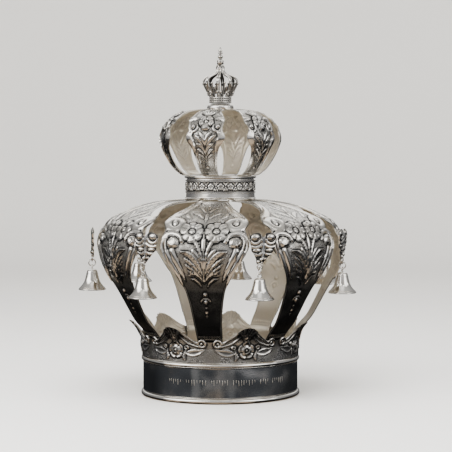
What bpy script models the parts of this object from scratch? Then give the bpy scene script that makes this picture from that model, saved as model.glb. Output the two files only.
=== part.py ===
"""Two-tier torah crown of embossed silver.

A polished base band carries a flaring gallery and seven main ribs.  The ribs swell out to a shoulder and
lap in under a neck ring.  Six upper ribs rise from that ring to a domed collar, which carries a miniature
crown with a knobbed spire.  Seven brackets bridge the gaps between the main ribs, and a bell hangs from
each by a jump ring.

Metres, +Z up.  The crown stands on z = 0, and its front main rib faces -Y.  Seven bells never balance
front to back about the crown's axis, so the axis stands AXIS_Y from the middle of the footprint.
"""
import math

import bmesh
import bpy
from mathutils import Matrix, Vector, geometry

MM = 0.001

# ---- driving dimensions
MAIN_RIBS = 7
UPPER_RIBS = 6
UPPER_TURN = math.radians(-7.5)      # the upper ribs stand this far round from the main ones
SHEET = 1.2 * MM                     # wall of the embossed sheet
FINIAL_SHEET = 1.6 * MM              # wall of the miniature crown
MERGE = 0.01 * MM                    # vertices this close are one
GAP = 0.3 * MM                       # between pieces that touch
CLEAR = 4.2                          # plain points keep this far from an ornament, in millimetres

BAND_RADIUS = 85.2 * MM              # outer face of the plain band
BAND_HEIGHT = 43.4 * MM
FOOT_BEAD = 2.8 * MM                 # radii of the band's two round mouldings
TOP_BEAD = 2.5 * MM
FOOT_LIP = 1.0                       # how far the foot is turned in under the band, in millimetres

GALLERY_RADIUS = 86.0 * MM           # middle of the gallery's sheet where it stands upright
GALLERY_FLARE = 12.5 * MM            # how far the crest tips lean out
FLARE_START = 57.5 * MM
CREST_TOP = 82.5 * MM

BELL_CIRCLE = 141.0 * MM             # radius at which the brackets and bells hang
BELL_MOUTH = 15.8 * MM
PLATE = 2.2 * MM                     # thickness of a bracket
EYE_HEIGHT = 150.1 * MM              # middle of the hole in a bracket's eye
EYE_ASIDE = -4.0 * MM                # the brackets' tails sweep to one side
EYE_HOLE = 2.0 * MM
RING_RADIUS = 3.7 * MM
RING_WIRE = 0.6 * MM
RING_SLACK = 0.6 * MM
LOOP_WIRE = 0.65 * MM
LOOP_HALF_WIDTH = 2.3 * MM
LOOP_FOOT = 136.5 * MM

AXIS_Y = -BELL_CIRCLE * (1.0 - math.cos(math.pi / MAIN_RIBS)) / 2.0

# ---- centre lines, from foot to top: radius, height and half width in millimetres
MAIN_RIB = (
    (84.5, 48.0, 13.2),
    (84.4, 67.0, 13.4),
    (89.4, 74.0, 13.9),
    (99.5, 85.3, 14.7),
    (107.6, 99.0, 16.2),
    (115.0, 112.8, 18.4),
    (121.6, 124.5, 21.2),
    (127.6, 135.3, 26.4),
    (131.8, 146.9, 33.0),
    (133.5, 158.0, 41.0),
    (133.5, 168.5, 46.6),
    (131.0, 177.5, 46.6),
    (126.0, 186.1, 42.4),
    (119.0, 192.7, 45.2),
    (109.5, 198.1, 41.0),
    (95.0, 204.5, 30.0),
    (72.0, 210.7, 20.0),
    (34.5, 214.0, 14.4),
)
UPPER_RIB = (
    (34.5, 241.7, 7.4),
    (42.6, 242.9, 8.8),
    (50.0, 249.1, 10.0),
    (57.4, 259.7, 11.6),
    (62.6, 271.1, 15.0),
    (64.6, 282.5, 21.6),
    (63.0, 290.3, 18.4),
    (57.4, 299.1, 19.4),
    (48.0, 306.9, 14.8),
    (34.0, 311.4, 10.6),
    (10.0, 312.4, 4.3),
)

# ---- leaves in pairs: how far out and how far up the rib, half length, half width (mm), lean (radians)
MAIN_LEAVES = (
    (6.0, 133.0, 6.5, 1.9, 0.45),
    (12.5, 125.5, 12.5, 3.0, 0.85),
    (9.6, 112.5, 9.5, 2.7, 0.85),
    (12.8, 62.0, 31.0, 1.8, 0.12),
)
UPPER_LEAVES = (
    (6.4, 53.0, 8.0, 2.4, 0.50),
    (4.8, 40.0, 6.5, 2.2, 0.50),
)


# ---- shared tools
def clear_scene():
    for thing in list(bpy.data.objects):
        bpy.data.objects.remove(thing, do_unlink=True)


def make_material(name, colour, roughness):
    finish = bpy.data.materials.new(name)
    finish.use_nodes = True
    shader = finish.node_tree.nodes["Principled BSDF"]
    shader.inputs["Base Color"].default_value = (*colour, 1.0)
    shader.inputs["Metallic"].default_value = 1.0
    shader.inputs["Roughness"].default_value = roughness
    return finish


def make_collection(name):
    group = bpy.data.collections.new(name)
    bpy.context.scene.collection.children.link(group)
    return group


def add_part(name, mesh, finish, angle=0.0):
    """An object of the crown, turned about the crown's axis."""
    if not mesh.materials:
        mesh.materials.append(finish)
    part = bpy.data.objects.new(name, mesh)
    part.parent = axis
    part.rotation_euler.z = angle
    crown.objects.link(part)
    return part


def add_tool(name, mesh):
    """A hidden shape that another piece is joined with."""
    tool = bpy.data.objects.new(name, mesh)
    tool.parent = axis
    tool.hide_render = True
    tool.display_type = "WIRE"
    helpers.objects.link(tool)
    return tool


def join(part, tool):
    union = part.modifiers.new("join " + tool.name, "BOOLEAN")
    union.operation = "UNION"
    union.object = tool


def turn(part, segments):
    """Turns a profile that stands at +X into a round piece."""
    screw = part.modifiers.new("turn", "SCREW")
    screw.steps = segments
    screw.render_steps = segments
    screw.use_merge_vertices = True
    screw.merge_threshold = MERGE
    screw.use_smooth_shade = True


def profile_mesh(name, points, closed):
    """A line of (radius, height) points in millimetres, as a mesh of edges."""
    mesh = bpy.data.meshes.new(name)
    count = len(points)
    edges = [(i, i + 1) for i in range(count - 1)]
    if closed:
        edges.append((count - 1, 0))
    mesh.from_pydata([(r * MM, 0.0, z * MM) for r, z in points], edges, [])
    return mesh


def half_round(radius, height, bead, steps):
    """Points of an outward half-round moulding, from its top to its foot, in millimetres."""
    points = []
    for i in range(steps + 1):
        angle = math.pi / 2 - math.pi * i / steps
        points.append((radius + bead * math.cos(angle), height + bead * math.sin(angle)))
    return points


def along(stations, place):
    """Radius, height and half width at a place counted in stations."""
    first = min(int(place), len(stations) - 2)
    part = place - first
    return [a + (b - a) * part for a, b in zip(stations[first], stations[first + 1])]


def grid_mesh(name, columns, rows, shape):
    """A grid whose vertices are moved by shape(column, row), which gives each one's place."""
    bm = bmesh.new()
    bmesh.ops.create_grid(bm, x_segments=columns, y_segments=rows, size=1.0)
    for vertex in bm.verts:
        column = round((vertex.co.x + 1.0) / 2.0 * columns)
        row = round((vertex.co.y + 1.0) / 2.0 * rows)
        vertex.co = shape(column, row)
    bmesh.ops.remove_doubles(bm, verts=bm.verts, dist=MERGE)
    mesh = bpy.data.meshes.new(name)
    bm.to_mesh(mesh)
    bm.free()
    mesh.shade_smooth()
    return mesh


def on_circle(radius, height, angle):
    """A place on the crown, with the angle counted from the front towards +X."""
    return (radius * math.sin(angle), -radius * math.cos(angle), height)


def hill(distance, reach):
    """1 at no distance, falling smoothly to nothing well past the reach."""
    return math.exp(-((distance / reach) ** 2))


# ---- embossing: points are (aside, up, lift) in millimetres, and an ornament is (foot, raised points)
def dome(aside, up, size, lift, sides=6):
    """A round boss that rises to a point."""
    foot = []
    for i in range(sides):
        angle = 2.0 * math.pi * i / sides + math.pi / 2
        foot.append((aside + size * math.cos(angle), up + size * math.sin(angle), 0.0))
    return foot, [(aside, up, lift)]


def flower(aside, up, size, lift, petals=5):
    """Raised petals about a hollow heart."""
    foot = []
    raised = [(aside, up, lift * 0.4)]
    for i in range(2 * petals):
        angle = math.pi * (i / petals + 0.5)
        x = size * math.cos(angle)
        y = size * math.sin(angle)
        share = 0.72 if i % 2 else 1.0
        foot.append((aside + share * x, up + share * y, 0.0))
        if i % 2 == 0:
            raised.append((aside + 0.62 * x, up + 0.62 * y, lift))
    return foot, raised


def leaf(aside, up, length, width, lean, lift):
    """A pointed leaf with a ridge.  length and width are halves, and it leans towards +aside."""
    x = math.sin(lean)
    y = math.cos(lean)

    def point(share, out, height):
        return (aside + x * length * share + y * out, up + y * length * share - x * out, height)

    foot = [point(1.0, 0.0, 0.0), point(-0.1, width, 0.0), point(-1.0, 0.0, 0.0), point(-0.1, -width, 0.0)]
    return foot, [point(-0.15, 0.0, lift)]


def pair(ornament):
    """An ornament and its mirror image on the other side of the middle."""
    foot, raised = [[(-aside, up, lift) for aside, up, lift in points] for points in ornament]
    return [ornament, (foot, raised)]


def clear_of(plain, ornaments):
    """The plain points that no ornament covers."""
    taken = [point for foot, raised in ornaments for point in foot + raised]
    return [p for p in plain if all(math.hypot(p[0] - t[0], p[1] - t[1]) > CLEAR for t in taken)]


def add_face(bm, loops, plain, ornaments, place):
    """Triangulates one face of a sheet and returns the vertices of its loops, the outline first."""
    points = list(plain)
    lines = []
    for loop in loops + [foot for foot, raised in ornaments]:
        start = len(points)
        points += loop
        lines.append(list(range(start, len(points))))
    for foot, raised in ornaments:
        points += raised
    edges = [(line[i - 1], line[i]) for line in lines for i in range(len(line))]
    flat = [Vector(point[:2]) for point in points]
    places, _, faces, origins, _, _ = geometry.delaunay_2d_cdt(flat, edges, [], 1, 0.0001)
    vertices = []
    made = {}
    for spot, origin in zip(places, origins):
        lift = points[origin[0]][2] if origin else 0.0
        vertex = bm.verts.new(place(spot.x, spot.y, lift))
        vertices.append(vertex)
        for index in origin:
            made[index] = vertex
    rims = [[made[index] for index in line] for line in lines[:len(loops)]]
    for face in faces:
        corners = [vertices[index] for index in face]
        if not any(set(corners) <= set(rim) for rim in rims[1:]):
            bm.faces.new(corners)
    return rims


def add_sheet(bm, loops, plain, ornaments, place, wall, open_edge=None):
    """Adds an embossed sheet to bm, bent by place(aside, up, lift).

    loops are the sheet's outline and its holes.  The wall is left open where both ends of an edge lie
    open_edge from the middle.
    """

    def front_place(aside, up, lift):
        return place(aside, up, lift + wall / 2)

    def back_place(aside, up, lift):
        return place(aside, up, -wall / 2)

    front = add_face(bm, loops, clear_of(plain, ornaments), ornaments, front_place)
    back = add_face(bm, loops, plain, [], back_place)
    for loop, over, under in zip(loops, front, back):
        for i in range(len(loop)):
            ends = (loop[i - 1][0], loop[i][0])
            if open_edge is None or ends[0] != ends[1] or abs(ends[0]) != open_edge:
                bm.faces.new((over[i - 1], over[i], under[i], under[i - 1]))


def finished_mesh(name, bm):
    bmesh.ops.remove_doubles(bm, verts=bm.verts, dist=MERGE)
    bmesh.ops.recalc_face_normals(bm, faces=bm.faces)
    mesh = bpy.data.meshes.new(name)
    bm.to_mesh(mesh)
    bm.free()
    return mesh


# ---- ribs
def rib_mesh(name, stations, rim, flat_rows, ornaments):
    """A rib: rim is how far its side edges are raised, except in the flat rows."""
    last = len(stations) - 1
    lengths = [0.0]
    for low, high in zip(stations, stations[1:]):
        lengths.append(lengths[-1] + math.hypot(high[0] - low[0], high[1] - low[1]))

    def place(aside, up, lift):
        row = 0
        while row < last - 1 and up > lengths[row + 1]:
            row += 1
        row += (up - lengths[row]) / (lengths[row + 1] - lengths[row])
        radius, height = along(stations, row)[:2]
        below = along(stations, max(row - 0.5, 0.0))
        above = along(stations, min(row + 0.5, last))
        rise = math.hypot(above[0] - below[0], above[1] - below[1])
        radius_out = radius + lift * (above[1] - below[1]) / rise
        height_out = height - lift * (above[0] - below[0]) / rise
        return on_circle(radius_out * MM, height_out * MM, aside / radius)

    right = []
    left = []
    plain = []
    for row, station in enumerate(stations):
        half = station[2]
        lift = 0.0 if row in flat_rows else rim
        right.append((half, lengths[row], lift))
        left.append((-half, lengths[row], lift))
        columns = (-0.5, 0.0, 0.5) if half > 30.0 else (0.0,)
        if 0 < row < last:
            plain += [(half * column, lengths[row], 0.0) for column in columns]
    top = [(0.0, lengths[last], 0.0)]
    foot = [(0.0, 0.0, 0.0)]
    bm = bmesh.new()
    add_sheet(bm, [right + top + left[::-1] + foot], plain, ornaments, place, SHEET / MM)
    return finished_mesh(name, bm)


def main_ribs():
    ornaments = []
    ornaments += pair(flower(13.6, 154.0, 12.2, 3.8))
    ornaments += pair(dome(34.5, 167.0, 6.8, 3.6))
    ornaments += pair(dome(35.5, 143.5, 7.4, 5.6))
    for aside, up, length, width, lean in MAIN_LEAVES:
        ornaments += pair(leaf(aside, up, length, width, lean, 2.4))
    ornaments.append(leaf(0.0, 119.0, 21.0, 2.2, 0.0, 3.0))
    ornaments.append(dome(0.0, 84.0, 3.6, 2.2, 5))
    ornaments.append(dome(0.0, 74.0, 3.6, 2.2, 5))
    mesh = rib_mesh("main_rib", MAIN_RIB, 0.9, (0, 1, len(MAIN_RIB) - 1), ornaments)
    for i in range(MAIN_RIBS):
        add_part(f"main_rib_{i + 1}", mesh, silver, 2.0 * math.pi * i / MAIN_RIBS)


def upper_ribs():
    ornaments = [flower(0.0, 73.0, 8.6, 3.4)]
    ornaments += pair(dome(13.2, 62.5, 3.6, 3.0, 5))
    for aside, up, length, width, lean in UPPER_LEAVES:
        ornaments += pair(leaf(aside, up, length, width, lean, 2.2))
    ornaments.append(dome(0.0, 24.0, 2.8, 1.8, 5))
    mesh = rib_mesh("upper_rib", UPPER_RIB, 0.8, (0, len(UPPER_RIB) - 1), ornaments)
    for i in range(UPPER_RIBS):
        add_part(f"upper_rib_{i + 1}", mesh, silver, UPPER_TURN + 2.0 * math.pi * i / UPPER_RIBS)


# ---- hoops
def base_band():
    radius = BAND_RADIUS / MM
    foot = FOOT_BEAD / MM
    top = TOP_BEAD / MM
    height = BAND_HEIGHT / MM
    inner = (BAND_RADIUS - SHEET) / MM
    points = half_round(radius - 0.4, height - top, top, 2)
    points += half_round(radius - 0.6, foot, foot, 2)
    points += [(inner - FOOT_LIP, 0.0), (inner, foot), (inner, height)]
    part = add_part("base_band", profile_mesh("base_band", points, closed=True), polished)
    turn(part, 32)


def gallery_top(share):
    """Height of the gallery's edge in millimetres: share is 0 at a crest and 1 at a rib."""
    low = 65.0
    shell = (CREST_TOP / MM - low) * min(1.0, max(0.0, 0.52 - share) / 0.36) ** 0.8
    volute = 3.5 * hill(share - 0.8, 0.12)
    return low + shell + volute


def gallery():
    """Seven equal bays, each with a rose under its shell crest."""
    radius = GALLERY_RADIUS / MM
    edge = math.pi / MAIN_RIBS * radius
    foot = (BAND_HEIGHT + GAP) / MM
    low_columns = 8
    top_columns = 10

    def place(aside, up, lift):
        lean = max(0.0, up * MM - FLARE_START) / (CREST_TOP - FLARE_START)
        flared = GALLERY_RADIUS + GALLERY_FLARE * lean ** 2.2
        return on_circle(flared + lift * MM, up * MM, aside / radius)

    outline = []
    plain = []
    for i in range(low_columns + 1):
        aside = edge * (2.0 * i / low_columns - 1.0)
        outline.append((aside, foot, 0.0))
        if 0 < i < low_columns:
            plain.append((aside, 57.0, 0.0))
    for i in range(top_columns + 1):
        share = 1.0 - 2.0 * i / top_columns
        outline.append((edge * share, gallery_top(abs(share)), 0.0))
    plain += [(aside, 70.0, 0.0) for aside in (-6.0, 6.0)]
    ornaments = [flower(0.0, 55.0, 7.4, 3.0), leaf(0.0, 73.0, 6.6, 2.2, 0.0, 2.2)]
    ornaments += pair(leaf(16.5, 53.0, 7.6, 2.6, 1.75, 2.2))
    ornaments += pair(leaf(17.0, 64.0, 6.6, 1.5, -0.9, 1.8))
    ornaments += pair(dome(30.8, 61.0, 4.0, 2.0))
    bm = bmesh.new()
    turned = Matrix.Rotation(2.0 * math.pi / MAIN_RIBS, 3, "Z")
    for i in range(MAIN_RIBS):
        add_sheet(bm, [outline], plain, ornaments, place, SHEET / MM, edge)
        bmesh.ops.rotate(bm, verts=bm.verts, cent=(0.0, 0.0, 0.0), matrix=turned)
    add_part("gallery", finished_mesh("gallery", bm), silver, math.pi / MAIN_RIBS)


def neck_ring():
    points = [
        (39.6, 240.4),
        (39.6, 238.6),
        (37.0, 238.0),
        (37.4, 234.8),
        (39.2, 233.8),
        (39.2, 224.1),
        (37.4, 223.0),
        (38.2, 215.0),
        (35.6, 215.0),
        (35.6, 239.0),
        (33.6, 240.4),
    ]
    part = add_part("neck_ring", profile_mesh("neck_ring", points, closed=True), silver)
    turn(part, 20)


def collar():
    points = [
        (0.0, 320.1),
        (10.8, 320.1),
        (13.6, 317.9),
        (14.7, 315.1),
        (14.2, 313.4),
        (13.0, 313.4),
        (12.2, 317.3),
        (0.0, 318.7),
    ]
    part = add_part("collar", profile_mesh("collar", points, closed=False), silver)
    turn(part, 12)


# ---- miniature crown
def finial_crown():
    basket = (
        (10.6, 325.9),
        (14.0, 332.0),
        (19.4, 341.0),
        (18.6, 347.4),
        (7.4, 354.4),
        (3.2, 357.6),
    )
    arches = 8
    bar = math.radians(15.0)
    pitch = 2.0 * math.pi / arches

    def place(column, row):
        radius, height = basket[row]
        index = column % (2 * arches)
        angle = pitch * (index // 2) + (bar if index % 2 else 0.0) - bar / 2
        return on_circle(radius * MM, height * MM, angle)

    mesh = grid_mesh("finial_crown", 2 * arches, len(basket) - 1, place)
    open_windows(mesh, basket, bar)
    part = add_part("finial_crown", mesh, silver)
    sheet = part.modifiers.new("sheet", "SOLIDIFY")
    sheet.thickness = FINIAL_SHEET
    sheet.offset = 0.0
    ring = [(0.0, 326.7), (12.3, 326.7), (11.6, 323.6), (12.3, 320.5), (0.0, 320.5)]
    foot = add_tool("finial_foot", profile_mesh("finial_foot", ring, closed=False))
    turn(foot, 12)
    join(part, foot)
    spire = [
        (0.0, 381.7),
        (2.2, 378.9),
        (1.1, 376.7),
        (2.4, 374.5),
        (1.3, 372.3),
        (3.0, 369.9),
        (1.7, 368.1),
        (4.0, 365.7),
        (2.6, 363.3),
        (4.5, 359.9),
        (2.4, 354.5),
        (0.0, 353.5),
    ]
    top = add_tool("finial_spire", profile_mesh("finial_spire", spire, closed=False))
    turn(top, 8)
    join(part, top)


def open_windows(mesh, basket, bar):
    """Takes out the faces between the arches, above the basket's foot and below its neck."""
    bm = bmesh.new()
    bm.from_mesh(mesh)
    low = basket[1][1] * MM
    high = basket[-2][1] * MM
    between = []
    for face in bm.faces:
        middle = face.calc_center_median()
        level = [e.calc_length() for e in face.edges if abs(e.verts[0].co.z - e.verts[1].co.z) < MERGE]
        radius = math.hypot(middle.x, middle.y)
        if low < middle.z < high and max(level) > 1.5 * radius * bar:
            between.append(face)
    bmesh.ops.delete(bm, geom=between, context="FACES")
    bm.to_mesh(mesh)
    bm.free()


# ---- brackets, jump rings and bells
def hanger_mesh():
    """A flat bracket facing -Y, with two volutes over folds that gather into a tail swept to its eye."""
    outline = [
        (0.0, 180.2),
        (7.0, 184.9),
        (14.0, 182.6),
        (15.4, 176.4),
        (12.4, 171.4),
        (12.2, 165.4),
        (0.4, 155.5),
        (-0.6, 149.2),
        (-4.0, 146.4),
        (-7.4, 149.2),
        (-7.8, 157.0),
        (-12.4, 165.4),
        (-12.4, 171.4),
        (-15.4, 176.4),
        (-14.0, 182.6),
        (-7.0, 184.9),
    ]
    hole = []
    for i in range(6):
        angle = math.pi / 3 * i + math.pi / 6
        across = EYE_ASIDE + EYE_HOLE * math.cos(angle)
        hole.append((across / MM, (EYE_HEIGHT + EYE_HOLE * math.sin(angle)) / MM))
    loops = [[(x, z, 0.0) for x, z in line] for line in (outline, hole)]
    ornaments = pair(dome(8.8, 178.2, 5.2, 2.6, 6))
    ornaments.append(leaf(-5.6, 160.4, 7.4, 1.7, -0.15, 2.0))
    ornaments.append(leaf(-0.6, 165.0, 7.6, 1.6, 0.35, 2.0))
    ornaments.append(leaf(6.2, 167.4, 5.6, 1.4, 0.75, 2.0))

    def place(aside, up, lift):
        return (aside * MM, -BELL_CIRCLE - lift * MM, up * MM)

    bm = bmesh.new()
    add_sheet(bm, loops, [], ornaments, place, PLATE / MM)
    return finished_mesh("hanger", bm)


def torus_mesh(name, radius, wire, segments, sides, place):
    """A ring of wire about the X axis, moved and stretched by a matrix."""
    bpy.ops.mesh.primitive_torus_add(
        major_segments=segments,
        minor_segments=sides,
        major_radius=radius,
        minor_radius=wire,
    )
    made = bpy.context.object
    mesh = made.data
    bpy.data.objects.remove(made, do_unlink=True)
    mesh.name = name
    mesh.transform(place)
    mesh.shade_smooth()
    return mesh


def bells():
    ring_height = EYE_HEIGHT - EYE_HOLE + RING_SLACK + RING_WIRE - RING_RADIUS
    loop_top = ring_height - RING_RADIUS + RING_WIRE + GAP + LOOP_WIRE
    loop_height = (loop_top + LOOP_FOOT) / 2
    stretch = (loop_top - LOOP_FOOT) / 2 / LOOP_HALF_WIDTH
    hanger = hanger_mesh()
    across = Matrix.Rotation(math.pi / 2, 4, "Y")
    ring_place = Matrix.Translation((EYE_ASIDE, -BELL_CIRCLE, ring_height)) @ across
    ring = torus_mesh("ring", RING_RADIUS, RING_WIRE, 8, 3, ring_place)
    facing = Matrix.Diagonal((1.0, 1.0, stretch, 1.0)) @ Matrix.Rotation(math.pi / 2, 4, "X")
    loop_place = Matrix.Translation((EYE_ASIDE, -BELL_CIRCLE, loop_height)) @ facing
    loop = torus_mesh("bell_loop", LOOP_HALF_WIDTH, LOOP_WIRE, 6, 3, loop_place)
    mouth = BELL_MOUTH / MM
    profile = [
        (0.0, 136.8),
        (5.6, 135.5),
        (7.8, 126.0),
        (10.4, 119.1),
        (mouth, 113.5),
        (mouth - 1.2, 113.4),
        (9.2, 120.1),
        (6.4, 127.0),
        (0.0, 134.7),
    ]
    bell = turned_mesh("bell", profile, 9, (EYE_ASIDE, -BELL_CIRCLE, 0.0))
    for i in range(MAIN_RIBS):
        angle = 2.0 * math.pi * (i + 0.5) / MAIN_RIBS
        add_part(f"hanger_{i + 1}", hanger, silver, angle)
        add_part(f"ring_{i + 1}", ring, polished, angle)
        part = add_part(f"bell_{i + 1}", bell, polished, angle)
        tool = add_tool(f"bell_loop_{i + 1}", loop)
        tool.rotation_euler.z = angle
        join(part, tool)


def turned_mesh(name, profile, segments, place):
    """A round piece turned about an upright line through place."""
    bm = bmesh.new()
    line = [bm.verts.new((r * MM, 0.0, z * MM)) for r, z in profile]
    for start, end in zip(line, line[1:]):
        bm.edges.new((start, end))
    bmesh.ops.spin(
        bm,
        geom=bm.verts[:] + bm.edges[:],
        cent=(0.0, 0.0, 0.0),
        axis=(0.0, 0.0, 1.0),
        angle=2.0 * math.pi,
        steps=segments,
    )
    bmesh.ops.translate(bm, vec=place, verts=bm.verts)
    mesh = finished_mesh(name, bm)
    mesh.shade_smooth()
    return mesh


clear_scene()
crown = make_collection("torah_crown")
helpers = make_collection("helpers")
silver = make_material("oxidised_silver", (0.72, 0.70, 0.66), 0.32)
polished = make_material("polished_silver", (0.86, 0.85, 0.82), 0.12)
axis = bpy.data.objects.new("crown_axis", None)
axis.location.y = AXIS_Y
crown.objects.link(axis)

base_band()
gallery()
main_ribs()
neck_ring()
upper_ribs()
collar()
finial_crown()
bells()
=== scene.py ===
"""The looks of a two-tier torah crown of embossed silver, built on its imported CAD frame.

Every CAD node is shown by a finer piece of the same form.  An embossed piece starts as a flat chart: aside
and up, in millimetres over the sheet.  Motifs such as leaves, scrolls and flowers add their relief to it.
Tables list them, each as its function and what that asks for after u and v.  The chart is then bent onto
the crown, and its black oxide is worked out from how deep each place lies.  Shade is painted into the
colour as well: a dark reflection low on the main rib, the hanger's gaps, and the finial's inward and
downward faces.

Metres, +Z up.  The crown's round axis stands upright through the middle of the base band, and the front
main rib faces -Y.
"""

import math

import bmesh
import bpy
import numpy as np
from mathutils import Matrix, Vector


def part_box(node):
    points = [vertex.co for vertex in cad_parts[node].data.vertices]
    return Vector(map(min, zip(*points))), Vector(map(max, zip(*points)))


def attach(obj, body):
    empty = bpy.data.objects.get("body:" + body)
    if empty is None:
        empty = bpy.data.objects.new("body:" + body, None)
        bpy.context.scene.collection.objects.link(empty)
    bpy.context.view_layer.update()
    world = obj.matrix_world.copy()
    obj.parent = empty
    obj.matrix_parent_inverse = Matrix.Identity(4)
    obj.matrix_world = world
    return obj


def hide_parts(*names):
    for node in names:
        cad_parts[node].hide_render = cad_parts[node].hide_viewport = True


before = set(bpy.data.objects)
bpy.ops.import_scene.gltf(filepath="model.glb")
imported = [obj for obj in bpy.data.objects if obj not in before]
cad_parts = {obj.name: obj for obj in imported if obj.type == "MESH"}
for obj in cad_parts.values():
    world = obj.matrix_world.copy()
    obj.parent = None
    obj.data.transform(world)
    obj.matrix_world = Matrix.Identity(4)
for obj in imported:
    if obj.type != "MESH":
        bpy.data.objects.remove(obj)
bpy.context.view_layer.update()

MM = 0.001
TURN = 2.0 * math.pi

# ---- what the frame says
band_low, band_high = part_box("base_band")
AXIS = Vector(((band_low[0] + band_high[0]) / 2.0, (band_low[1] + band_high[1]) / 2.0, 0.0))
MAIN_RIBS = sum(name.startswith("main_rib_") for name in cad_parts)
UPPER_RIBS = sum(name.startswith("upper_rib_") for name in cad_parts)

# ---- shared sizes, in millimetres, and how far round the upper ribs stand from the main ones
UPPER_TURN = math.radians(-7.5)
WALL = 1.0                           # thickness of the embossed sheet
LIFT = 0.4                           # how far its ground stands out from the solid's face
BAND_RADIUS = 85.2
BAND_HEIGHT = 43.4
BAND_WALL = 1.2
BAND_STEP = 0.5                      # how far the mouldings' roots lie below the band's face
FOOT_BEAD = 2.8
TOP_BEAD = 2.5
GALLERY_RADIUS = 86.0
GALLERY_GAP = 0.3                    # between the band's top and the gallery's foot
GALLERY_FLARE = 12.5
FLARE_START = 57.5
CREST_TOP = 82.5
BELL_CIRCLE = 141.0
EYE_HEIGHT = 150.1
EYE_ASIDE = -4.0
RING_MIDDLE = 145.6
LOOP_MIDDLE = 140.6

# ---- the camera: its place in metres, its lens in millimetres
VIEW_AZIMUTH = math.radians(7.5)
VIEW_DISTANCE = 1.872
VIEW_HEIGHT = 0.2735
VIEW_LENS = 135.4
VIEW_DOWN = math.radians(2.7)
VIEW_ASIDE = math.radians(0.19)

# ---- centre lines of the ribs, from foot to top: radius, height and half width in millimetres
MAIN_RIB = (
    (84.5, 48.0, 13.2),
    (84.4, 67.0, 13.4),
    (89.4, 74.0, 13.9),
    (99.5, 85.3, 14.7),
    (107.6, 99.0, 16.2),
    (115.0, 112.8, 18.4),
    (121.6, 124.5, 21.2),
    (127.6, 135.3, 26.4),
    (131.8, 146.9, 33.0),
    (133.5, 158.0, 41.0),
    (133.5, 168.5, 46.6),
    (131.0, 177.5, 46.6),
    (126.0, 186.1, 42.4),
    (119.0, 192.7, 45.2),
    (109.5, 198.1, 41.0),
    (95.0, 204.5, 30.0),
    (72.0, 210.7, 20.0),
    (34.5, 214.0, 14.4),
)
UPPER_RIB = (
    (34.5, 241.7, 7.4),
    (42.6, 242.9, 8.8),
    (50.0, 249.1, 10.0),
    (57.4, 259.7, 11.6),
    (62.6, 271.1, 15.0),
    (64.6, 282.5, 21.6),
    (63.0, 290.3, 18.4),
    (57.4, 299.1, 19.4),
    (48.0, 306.9, 14.8),
    (34.0, 311.4, 10.6),
    (10.0, 312.4, 4.3),
)


# ---- charts and their motifs: every motif gives its relief in millimetres at each point (u, v)
UP = math.pi / 2                     # the way a flower's first petal points in its chart
DOWN = -math.pi / 2


def held(value):
    """A value held between 0 and 1."""
    return np.clip(value, 0.0, 1.0)


def rounded(share):
    """A half-round swelling: 1 in the middle, 0 where share reaches 1."""
    return np.sqrt(held(1.0 - share**2))


def ridge(distance, reach):
    """A soft ridge that is 1 at no distance."""
    return np.exp(-((distance / reach) ** 2))


def dome(u, v, place, size, height):
    """A round swelling; size is its radius."""
    return height * rounded(np.hypot(u - place[0], v - place[1]) / size)


def bent_line(points, steps=28):
    """A smooth line through a few points, as an array of points."""
    knots = np.array([points[0], *points, points[-1]], dtype=float)
    line = []
    for i in range(1, len(knots) - 2):
        a, b, c, d = knots[i - 1 : i + 3]
        for t in np.linspace(0.0, 1.0, steps // (len(points) - 1), endpoint=False):
            square = (2 * a - 5 * b + 4 * c - d) * t**2
            cube = (3 * b - a - 3 * c + d) * t**3
            line.append(0.5 * (2 * b + (c - a) * t + square + cube))
    line.append(knots[-1])
    return np.array(line)


def about_line(u, v, points):
    """Signed distance from a bent line, and how far along it, from 0 to 1."""
    line = bent_line(points)
    count = len(line) - 1
    best = np.full(u.shape, 1e9)
    side = np.zeros(u.shape)
    share = np.zeros(u.shape)
    for i, (start, end) in enumerate(zip(line, line[1:])):
        step = end - start
        long = step @ step
        t = held(((u - start[0]) * step[0] + (v - start[1]) * step[1]) / long)
        x = u - start[0] - t * step[0]
        y = v - start[1] - t * step[1]
        distance = np.hypot(x, y)
        nearer = distance < best
        best = np.where(nearer, distance, best)
        side = np.where(nearer, np.sign(x * step[1] - y * step[0]), side)
        share = np.where(nearer, (i + t) / count, share)
    return best * side, share


def near_line(u, v, points, reach):
    """Where the chart lies within reach of a bent line's box."""
    table = np.array(points)
    low = table.min(axis=0) - reach
    high = table.max(axis=0) + reach
    return (u > low[0]) & (u < high[0]) & (v > low[1]) & (v < high[1])


def blade(u, v, points, widths, height, cuts=0, lip=0.0, scoop=0.0):
    """A rounded band along a bent line; widths are half widths spread evenly from its start to its end.

    cuts notches its face at a slant, lip lowers it all but its left edge, and scoop hollows its middle.
    """
    relief = np.zeros(u.shape)
    near = near_line(u, v, points, 1.3 * max(widths) + 1.0)
    across, along = about_line(u[near], v[near], points)
    place = across / np.interp(along, np.linspace(0.0, 1.0, len(widths)), widths)
    share = np.abs(place)
    low = 1.0 - ridge(place + 0.6, 0.36) if lip else 1.0
    teeth = 0.5 + 0.5 * np.cos(TURN * (cuts * along - 0.9 * share))
    body = rounded(share) * (1.0 - lip * low)
    if cuts:
        body = body * (1.0 - 0.4 * teeth * low)
    relief[near] = height * body * (1.0 - scoop * rounded(share / 0.8))
    return relief


def leaf(u, v, points, width, height):
    """A smooth pointed leaf with a scooped middle, along a bent line from its foot to its tip."""
    widths = [width * share for share in (0.2, 0.8, 1.0, 0.85, 0.15)]
    return blade(u, v, points, widths, height, scoop=0.3)


def boss(u, v, place, wide, tall, height):
    """An oval swelling; wide and tall are its half sizes."""
    return height * rounded(np.hypot((u - place[0]) / wide, (v - place[1]) / tall))


def ring(u, v, place, radius, width, height):
    """A ring with a flattened face; width is half its band's width."""
    return height * np.sqrt(rounded((np.hypot(u - place[0], v - place[1]) - radius) / width))


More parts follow.
